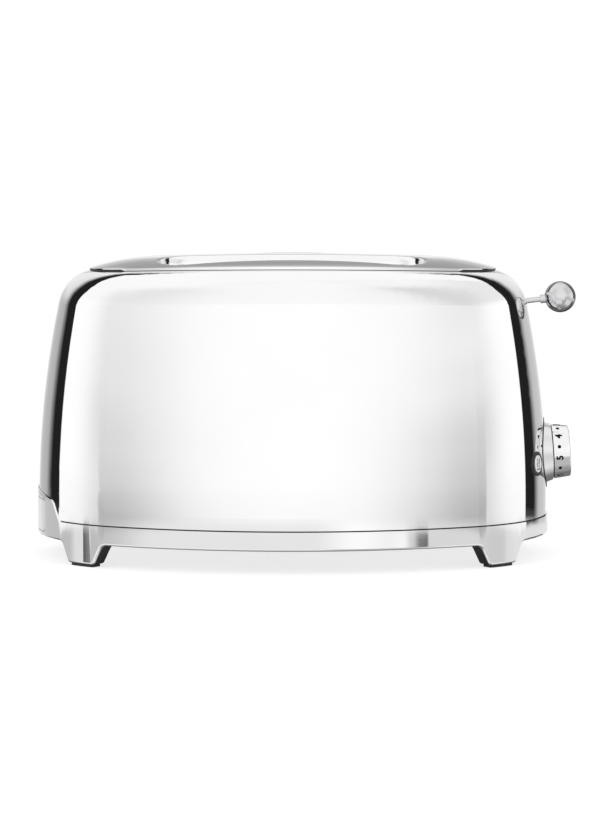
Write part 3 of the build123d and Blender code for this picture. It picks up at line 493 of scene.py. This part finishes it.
def drum_marks():
    """Numbers round the drum, with a dot midway between neighbours."""
    for number in range(1, LAST_NUMBER + 1):
        figure = text_mesh(str(number), MARK_HEIGHT, MARK_PROUD)
        onto_drum(figure, number)
        mesh_object(f"dial_number_{number}", figure, "dial", "black_paint")
        if number < LAST_NUMBER:
            dot = dot_mesh(DOT_RADIUS, MARK_PROUD)
            onto_drum(dot, number + 0.5)
            mesh_object(f"dial_dot_{number}", dot, "dial", "black_paint")


def ring_mesh(name, sections):
    """Closed ring through a row of cross-sections with equal numbers of points."""
    mesh = bpy.data.meshes.new(name)
    shape = bmesh.new()
    rows = [[shape.verts.new(point) for point in section] for section in sections]
    count = len(rows[0])
    for first, second in zip(rows, rows[1:] + rows[:1]):
        for i in range(count):
            j = (i + 1) % count
            shape.faces.new((first[i], first[j], second[j], second[i]))
    bmesh.ops.recalc_face_normals(shape, faces=shape.faces)
    shape.to_mesh(mesh)
    shape.free()
    return mesh


def skin_hit(node, start, direction):
    """First point and normal where a ray meets a node's surface."""
    found, place, normal, _ = NODES[node].ray_cast(start, direction)
    if not found:
        raise RuntimeError(f"no surface of {node} on the ray")
    return place, normal


def dial_rings(sides=96):
    """Black band of painted shade in the groove between skirt and drum, and black ring of painted shade round
    the skirt's foot.
    """
    angles = [2 * math.pi * i / sides for i in range(sides)]
    low = GROOVE_START + GROOVE_CLEARANCE
    high = DRUM_START - GROOVE_CLEARANCE
    inner = GROOVE_RADIUS + GROOVE_CLEARANCE
    outer = GROOVE_RADIUS + GROOVE_SHADE_THICKNESS
    corners = ((low, inner), (high, inner), (high, outer), (low, outer))
    band = [[dial_point(along, radius, angle) for along, radius in corners] for angle in angles]
    # Painted shade: the black band stands for the groove's shade
    mesh_object("dial_groove_painted_shade", ring_mesh("band", band), "dial", "black_plastic")
    foot = []
    for angle in angles:
        heights = []
        for radius in (SHELL_BESIDE_HOLE, FOOT_RING_OUTER):
            place, _ = skin_hit("outer_shell", dial_point(RAY_START, radius, angle), -DIAL_AXIS)
            heights.append((place - DIAL_ORIGIN).dot(DIAL_AXIS))
        inside, outside = heights
        corners = (
            (FOOT_RING_BACK, FOOT_RING_INNER),
            (FOOT_RING_BACK, FOOT_RING_HOLE),
            (inside - FOOT_RING_LAP, FOOT_RING_HOLE),
            (outside - FOOT_RING_LAP, FOOT_RING_OUTER),
            (outside + FOOT_RING_PROUD, FOOT_RING_OUTER),
            (inside + FOOT_RING_PROUD, FOOT_RING_INNER),
        )
        foot.append([dial_point(along, radius, angle) for along, radius in corners])
    # Painted shade: the black ring stands for the shade of the gap round the dial's foot
    mesh_object("dial_foot_painted_shade", ring_mesh("foot", foot), "housing", "black_plastic")


def place_on(mesh, centre, outward, upward):
    """Move a flat mark to a surface: its z becomes outward, its y as near upward as fits."""
    side = upward.cross(outward).normalized()
    over = outward.cross(side).normalized()
    for vertex in mesh.vertices:
        x, y, z = vertex.co
        vertex.co = centre + side * x + over * y + outward * z
    mesh.update()


def index_dot():
    """Black dot on the housing that the dial's marks are read against."""
    start = dial_point(RAY_START, INDEX_FROM_AXIS, INDEX_ANGLE)
    place, normal = skin_hit("outer_shell", start, -DIAL_AXIS)
    dot = dot_mesh(INDEX_RADIUS, MARK_PROUD)
    place_on(dot, place, normal, UP)
    mesh_object("dial_index_dot", dot, "housing", "black_paint")


def stroke_mesh(strokes):
    """Flat raised strokes of a pen's width along paths of points."""
    mesh = bpy.data.meshes.new("sign")
    shape = bmesh.new()
    for path in strokes:
        rows = []
        for i, point in enumerate(path):
            before = path[max(i - 1, 0)]
            after = path[min(i + 1, len(path) - 1)]
            across = Vector((before[1] - after[1], after[0] - before[0])).normalized() * SIGN_STROKE / 2
            rows.append([shape.verts.new((point[0] + side * across.x, point[1] + side * across.y, height))
                         for side, height in ((-1, 0), (1, 0), (1, SIGN_PROUD), (-1, SIGN_PROUD))])
        for first, second in zip(rows, rows[1:]):
            for i in range(len(first)):
                j = (i + 1) % len(first)
                shape.faces.new((first[i], first[j], second[j], second[i]))
        shape.faces.new(rows[0])
        shape.faces.new(rows[-1])
    bmesh.ops.recalc_face_normals(shape, faces=shape.faces)
    shape.to_mesh(mesh)
    shape.free()
    return mesh


def wave_strokes():
    """Two wavy lines over a short bar: warm air."""
    strokes = []
    for column in (-1, 1):
        path = []
        for i in range(WAVE_POINTS):
            share = i / (WAVE_POINTS - 1) - 0.5
            sway = WAVE_SWAY * math.sin(2 * math.pi * WAVE_TURNS * share)
            path.append((column * WAVE_HALF_GAP + sway + WAVE_LEAN * share, WAVE_HEIGHT * share + WAVE_LIFT))
        strokes.append(path)
    strokes.append([(-BAR_HALF_LENGTH, BAR_LEVEL), (BAR_HALF_LENGTH, BAR_LEVEL)])
    return strokes


def star_strokes():
    """Star of short rays, each with a small barb on either side: frozen bread."""
    strokes = []
    for i in range(STAR_RAYS):
        angle = math.radians(360 / STAR_RAYS * i + STAR_FIRST_RAY)
        ray = Vector((math.cos(angle), math.sin(angle)))
        across = Vector((-ray.y, ray.x))
        strokes.append([ray * STAR_INNER, ray * STAR_OUTER])
        for side in (-1, 1):
            strokes.append([ray * BARB_INNER, ray * BARB_OUTER + across * side * BARB_SPREAD])
    return strokes


def button_signs():
    """A printed sign on each function button's cap."""
    for name, strokes in (("front", wave_strokes()), ("rear", star_strokes())):
        button = f"function_button_{name}"
        low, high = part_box(button)
        centre = (Vector(low) + Vector(high)) / 2
        joint = next(j for j in frame["record"]["behaviour"]["joints"] if j["child"] == button)
        outward = -Vector(joint["axis"]).normalized()
        place, _ = skin_hit(button, centre + outward * RAY_START, -outward)
        sign = stroke_mesh(strokes)
        place_on(sign, place, outward, UP)
        mesh_object(f"button_sign_{name}", sign, button, "black_paint")


def insert_seal(steps=256):
    """Black strip of painted shade in the gap round the top insert: a fine line along its sides, taller round
    its two ends.
    """
    low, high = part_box("top_insert")
    centre = (Vector(low) + Vector(high)) / 2
    sections = []
    for i in range(steps):
        angle = 2 * math.pi * i / steps
        ray = Vector((math.cos(angle), math.sin(angle), 0))
        start = Vector((centre.x, centre.y, GAP_SHADE_LEVEL)) + ray * OUTSIDE
        wall, normal = skin_hit("top_insert", start, -ray)
        outward = Vector((normal.x, normal.y, 0)).normalized()
        above = Vector((wall.x, wall.y, OUTSIDE)) + outward * GAP_SHADE_TO_SHELL
        shell, _ = skin_hit("outer_shell", above, -UP)
        at_end = abs(wall.x - centre.x) > GAP_SHADE_FROM_X
        top = shell.z + (GAP_SHADE_END_HEIGHT if at_end else GAP_SHADE_LINE_HEIGHT)
        inner = wall + outward * GAP_SHADE_CLEARANCE
        outer = inner + outward * GAP_SHADE_THICKNESS
        bottom = shell.z - GAP_SHADE_DEPTH
        corners = ((inner, bottom), (outer, bottom), (outer, top), (inner, top))
        sections.append([Vector((point.x, point.y, height)) for point, height in corners])
    # Painted shade: the black strip stands for the shadow in the gap round the insert
    mesh_object("insert_seal", ring_mesh("gap_shade", sections), "housing", "black_plastic")


class NodeMath:
    """Short forms for the arithmetic in a node tree, on sockets and numbers."""

    def __init__(self, tree):
        self.tree = tree

    def put(self, socket, value):
        """Set a socket to a number, or link another node's socket to it."""
        if isinstance(value, (int, float)):
            socket.default_value = value
        else:
            self.tree.links.new(value, socket)

    def math(self, operation, *values):
        """Result of a Math node's operation."""
        node = self.tree.nodes.new("ShaderNodeMath")
        node.operation = operation
        for socket, value in zip(node.inputs, values):
            self.put(socket, value)
        return node.outputs["Value"]

    def rising(self, value, low, high):
        """0 below low, 1 above high, with a soft step between."""
        node = self.tree.nodes.new("ShaderNodeMapRange")
        node.interpolation_type = "SMOOTHSTEP"
        node.inputs["From Min"].default_value = low
        node.inputs["From Max"].default_value = high
        self.put(node.inputs["Value"], value)
        return node.outputs["Result"]

    def mixed(self, factor, first, second):
        """First where the factor is 0, second where it is 1."""
        node = self.tree.nodes.new("ShaderNodeMix")
        self.put(node.inputs["Factor"], factor)
        self.put(node.inputs["A"], first)
        self.put(node.inputs["B"], second)
        return node.outputs["Result"]

    def steps(self, value, stops):
        """Value carried through stops, each softly joined to the next."""
        result = stops[0][1]
        for (low, _), (high, level) in zip(stops, stops[1:]):
            result = self.mixed(self.rising(value, low, high), result, level)
        return result

    def corner_distance(self, y, z, centre_y, centre_z, radius):
        """How far inside a region that ends a radius before centre_y and a radius above centre_z, rounded."""
        ahead = self.math("MAXIMUM", self.math("SUBTRACT", centre_y, y), 0.0)
        above = self.math("MAXIMUM", self.math("SUBTRACT", z, centre_z), 0.0)
        squares = self.math("ADD", self.math("MULTIPLY", ahead, ahead),
                            self.math("MULTIPLY", above, above))
        return self.math("SUBTRACT", radius, self.math("SQRT", squares))

    def fold(self, azimuth, side, depth, crease):
        """Soft grey fold of the tent's wall on one side, brighter again beyond its crease."""
        outward = self.math("MULTIPLY", azimuth, side)
        offset = self.math("SUBTRACT", outward, FOLD_CENTRE)
        is_outer = self.rising(offset, -FOLD_CENTRE_SOFTNESS, FOLD_CENTRE_SOFTNESS)
        width = self.mixed(is_outer, FOLD_INNER_WIDTH, FOLD_OUTER_WIDTH)
        offset = self.math("DIVIDE", offset, width)
        bell = self.math("EXPONENT", self.math("MULTIPLY", self.math("MULTIPLY", offset, offset), -1.0))
        beyond = self.rising(outward, CREASE_AT - CREASE_HALF_WIDTH, CREASE_AT + CREASE_HALF_WIDTH)
        kept = self.math("SUBTRACT", 1.0, self.math("MULTIPLY", beyond, crease))
        return self.math("MULTIPLY", self.math("MULTIPLY", bell, kept), depth)


def tent_brightness(nodes, azimuth, elevation):
    """White tent round the front: two grey folds, a greyer wall on the right above the object."""
    crease = nodes.steps(elevation, CREASE_DEPTHS)
    left_depth = nodes.steps(elevation, LEFT_FOLD_DEPTHS)
    right_depth = nodes.steps(elevation, RIGHT_FOLD_DEPTHS)
    folds = nodes.math("ADD", nodes.fold(azimuth, -1.0, left_depth, crease),
                       nodes.fold(azimuth, 1.0, right_depth, crease))
    wall = nodes.math("MULTIPLY", nodes.rising(azimuth, *WALL_BEGINS), nodes.rising(azimuth, *WALL_ENDS))
    wall = nodes.math("MULTIPLY", wall, nodes.steps(elevation, WALL_DEPTHS))
    level = nodes.steps(elevation, TENT_LEVELS)
    return nodes.math("MULTIPLY", level, nodes.math("SUBTRACT", 1.0, nodes.math("ADD", folds, wall)))


def table_brightness(nodes, y, azimuth, elevation):
    """Pale table under the horizon: other greys just below its edge on the right, a dark flag on the left."""
    level = nodes.steps(azimuth, TABLE_LEVELS)
    lower_level = nodes.steps(azimuth, LOWER_TABLE_LEVELS)
    edge = nodes.mixed(nodes.rising(azimuth, *LOWER_TABLE_MEETS_EDGE), LOWER_TABLE_EDGE, TABLE_EDGE)
    over_edge = nodes.math("SUBTRACT", elevation, edge)
    is_lower = nodes.rising(over_edge, LOWER_TABLE_SOFTNESS, -LOWER_TABLE_SOFTNESS)
    is_lower = nodes.math("MULTIPLY", is_lower, nodes.rising(azimuth, *LOWER_TABLE_BEGINS))
    level = nodes.mixed(is_lower, level, lower_level)
    flag = nodes.math("MULTIPLY", nodes.rising(azimuth, *FLAG_BEGINS), nodes.rising(azimuth, *FLAG_ENDS))
    level = nodes.mixed(flag, level, nodes.steps(azimuth, FLAG_LEVELS))
    beside_dial = nodes.math("MULTIPLY", nodes.rising(azimuth, *BESIDE_DIAL_BEGINS),
                             nodes.rising(azimuth, *BESIDE_DIAL_ENDS))
    pale = nodes.math("MULTIPLY", nodes.math("SUBTRACT", 1.0, beside_dial),
                      nodes.rising(elevation, *PALE_ABOVE))
    # Painted shadow: the object's shadow on the floor, dark straight down here and behind on the next line
    below = nodes.mixed(pale, nodes.steps(elevation, BELOW_LEVELS), PALE_LEVEL)
    below = nodes.mixed(nodes.rising(y, *BEHIND_BEGINS), below, SHADOW_BEHIND_LEVEL)
    return nodes.mixed(nodes.rising(elevation, *BELOW_BEGINS), level, below)


def backdrop_brightness(nodes, x, azimuth_size, elevation):
    """Grey backdrop behind the object, brighter towards its middle and at the top."""
    foot = nodes.steps(azimuth_size, BACKDROP_FOOT_LEVELS)
    foot = nodes.math("ADD", foot,
                      nodes.math("MULTIPLY", nodes.rising(x, *BACKDROP_RIGHT_BEGINS), BACKDROP_RIGHT_MORE))
    upper = nodes.steps(azimuth_size, BACKDROP_UPPER_LEVELS)
    side = nodes.mixed(nodes.rising(elevation, *BACKDROP_UPPER_BEGINS), foot, upper)
    side = nodes.mixed(nodes.rising(elevation, *BACKDROP_WHITE_BEGINS), side, 1.0)
    middle = nodes.steps(elevation, BACKDROP_MIDDLE_LEVELS)
    return nodes.mixed(nodes.rising(azimuth_size, *BACKDROP_MIDDLE_BEGINS), side, middle)


def studio_brightness(tree):
    """The photographer's studio that polished metal mirrors: tent, dark gap behind it, backdrop and table."""
    nodes = NodeMath(tree)
    direction = tree.nodes.new("ShaderNodeTexCoord")
    split = tree.nodes.new("ShaderNodeSeparateXYZ")
    tree.links.new(direction.outputs["Generated"], split.inputs["Vector"])
    x, y, z = split.outputs["X"], split.outputs["Y"], split.outputs["Z"]
    azimuth = nodes.math("DEGREES", nodes.math("ARCTAN2", x, nodes.math("MULTIPLY", y, -1.0)))
    elevation = nodes.math("DEGREES", nodes.math("ARCSINE", z))
    tent = tent_brightness(nodes, azimuth, elevation)
    backdrop = backdrop_brightness(nodes, x, nodes.math("ABSOLUTE", azimuth), elevation)
    tent_corner = nodes.corner_distance(y, z, *TENT_CORNER)
    behind_tent = nodes.rising(tent_corner, -TENT_CORNER_SOFTNESS, TENT_CORNER_SOFTNESS)
    backdrop_corner = nodes.corner_distance(y, z, *BACKDROP_CORNER)
    lit = nodes.rising(backdrop_corner, -BACKDROP_CORNER_SOFTNESS, BACKDROP_CORNER_SOFTNESS)
    gap = nodes.math("MULTIPLY", nodes.math("SUBTRACT", 1.0, lit),
                     nodes.rising(nodes.math("ABSOLUTE", x), *GAP_BEGINS))
    above_table = nodes.mixed(behind_tent, tent, nodes.mixed(gap, backdrop, GAP_BRIGHTNESS))
    edge = nodes.mixed(nodes.rising(azimuth, *REAR_LEFT_ENDS), TABLE_EDGE_REAR_LEFT, TABLE_EDGE)
    edge = nodes.mixed(nodes.rising(azimuth, *REAR_RIGHT_BEGINS), edge, TABLE_EDGE_REAR_RIGHT)
    over_edge = nodes.math("SUBTRACT", elevation, edge)
    return nodes.mixed(nodes.rising(over_edge, -TABLE_EDGE_SOFTNESS, TABLE_EDGE_SOFTNESS),
                       table_brightness(nodes, y, azimuth, elevation), above_table)


def mixed_shader(tree, factor, first, second):
    """First shader where the factor is 0, second where it is 1."""
    node = tree.nodes.new("ShaderNodeMixShader")
    tree.links.new(factor, node.inputs["Fac"])
    tree.links.new(first, node.inputs[1])
    tree.links.new(second, node.inputs[2])
    return node.outputs["Shader"]


def white_background(tree, strength):
    """Background node, white at a strength of 1."""
    node = tree.nodes.new("ShaderNodeBackground")
    node.inputs["Color"].default_value = (1, 1, 1, 1)
    node.inputs["Strength"].default_value = strength
    return node


def world_light():
    """White for the camera, plain light for shading, and the studio for what is polished."""
    world = bpy.data.worlds.new("studio")
    bpy.context.scene.world = world
    world.use_nodes = True
    tree = world.node_tree
    tree.nodes.clear()
    output = tree.nodes.new("ShaderNodeOutputWorld")
    studio = white_background(tree, STUDIO_STRENGTH)
    plain = white_background(tree, PLAIN_STRENGTH)
    white = white_background(tree, WHITE_STRENGTH)
    tree.links.new(studio_brightness(tree), studio.inputs["Color"])
    path = tree.nodes.new("ShaderNodeLightPath")
    seen_by_metal = NodeMath(tree).math("MAXIMUM", path.outputs["Is Glossy Ray"],
                                        path.outputs["Is Transmission Ray"])
    lit = mixed_shader(tree, seen_by_metal, plain.outputs["Background"], studio.outputs["Background"])
    seen = mixed_shader(tree, path.outputs["Is Camera Ray"], lit, white.outputs["Background"])
    tree.links.new(seen, output.inputs["Surface"])


def matt_grey(tree, grey):
    """Diffuse shader of one grey."""
    node = tree.nodes.new("ShaderNodeBsdfDiffuse")
    node.inputs["Color"].default_value = (grey, grey, grey, 1)
    return node.outputs["BSDF"]


def studio_floor():
    """Pale matt floor that keeps the shadow, and lets polished metal see the studio beyond it."""
    mesh = bpy.data.meshes.new("floor")
    corners = [(FLOOR_HALF * x, FLOOR_HALF * y, 0) for x, y in ((-1, -1), (1, -1), (1, 1), (-1, 1))]
    mesh.from_pydata(corners, [], [(0, 1, 2, 3)])
    floor = bpy.data.objects.new("floor", mesh)
    bpy.context.scene.collection.objects.link(floor)
    floor.location.z = FLOOR_LEVEL
    material = bpy.data.materials.new("floor_pale")
    material.use_nodes = True
    tree = material.node_tree
    tree.nodes.clear()
    output = tree.nodes.new("ShaderNodeOutputMaterial")
    path = tree.nodes.new("ShaderNodeLightPath")
    lift = tree.nodes.new("ShaderNodeEmission")
    lift.inputs["Strength"].default_value = FLOOR_LIFT
    lifted = tree.nodes.new("ShaderNodeAddShader")
    tree.links.new(matt_grey(tree, FLOOR_SEEN_GREY), lifted.inputs[0])
    tree.links.new(lift.outputs["Emission"], lifted.inputs[1])
    plain = mixed_shader(tree, path.outputs["Is Camera Ray"], matt_grey(tree, FLOOR_GREY),
                         lifted.outputs["Shader"])
    clear = tree.nodes.new("ShaderNodeBsdfTransparent")
    surface = mixed_shader(tree, path.outputs["Is Glossy Ray"], plain, clear.outputs["BSDF"])
    tree.links.new(surface, output.inputs["Surface"])
    mesh.materials.append(material)


def turned_towards(place, target):
    """Rotation of a lamp or camera at a place that looks at a target."""
    return (target - place).to_track_quat("-Z", "Y").to_euler()


def soft_lamp(name, place, power):
    """Square soft light aimed at the toaster, not itself mirrored in the polish."""
    light = bpy.data.lights.new(name, "AREA")
    light.size = LAMP_SIZE
    light.energy = power
    lamp = bpy.data.objects.new(name, light)
    bpy.context.scene.collection.objects.link(lamp)
    lamp.location = place
    lamp.rotation_euler = turned_towards(Vector(place), LAMP_TARGET)
    lamp.visible_glossy = False


def photo_camera():
    """Camera at the photograph's viewing angle."""
    data = bpy.data.cameras.new("camera")
    data.lens = LENS_MM
    data.sensor_width = SENSOR_MM
    camera = bpy.data.objects.new("camera", data)
    bpy.context.scene.collection.objects.link(camera)
    camera.location = CAMERA_PLACE
    camera.rotation_euler = turned_towards(CAMERA_PLACE, CAMERA_TARGET)
    bpy.context.scene.camera = camera


photo_camera()
dress_nodes()
drum_marks()
dial_rings()
index_dot()
button_signs()
insert_seal()
world_light()
studio_floor()
for lamp_name, lamp_place, lamp_power in LAMPS:
    soft_lamp(lamp_name, lamp_place, lamp_power)
bpy.context.scene.view_settings.view_transform = "Standard"
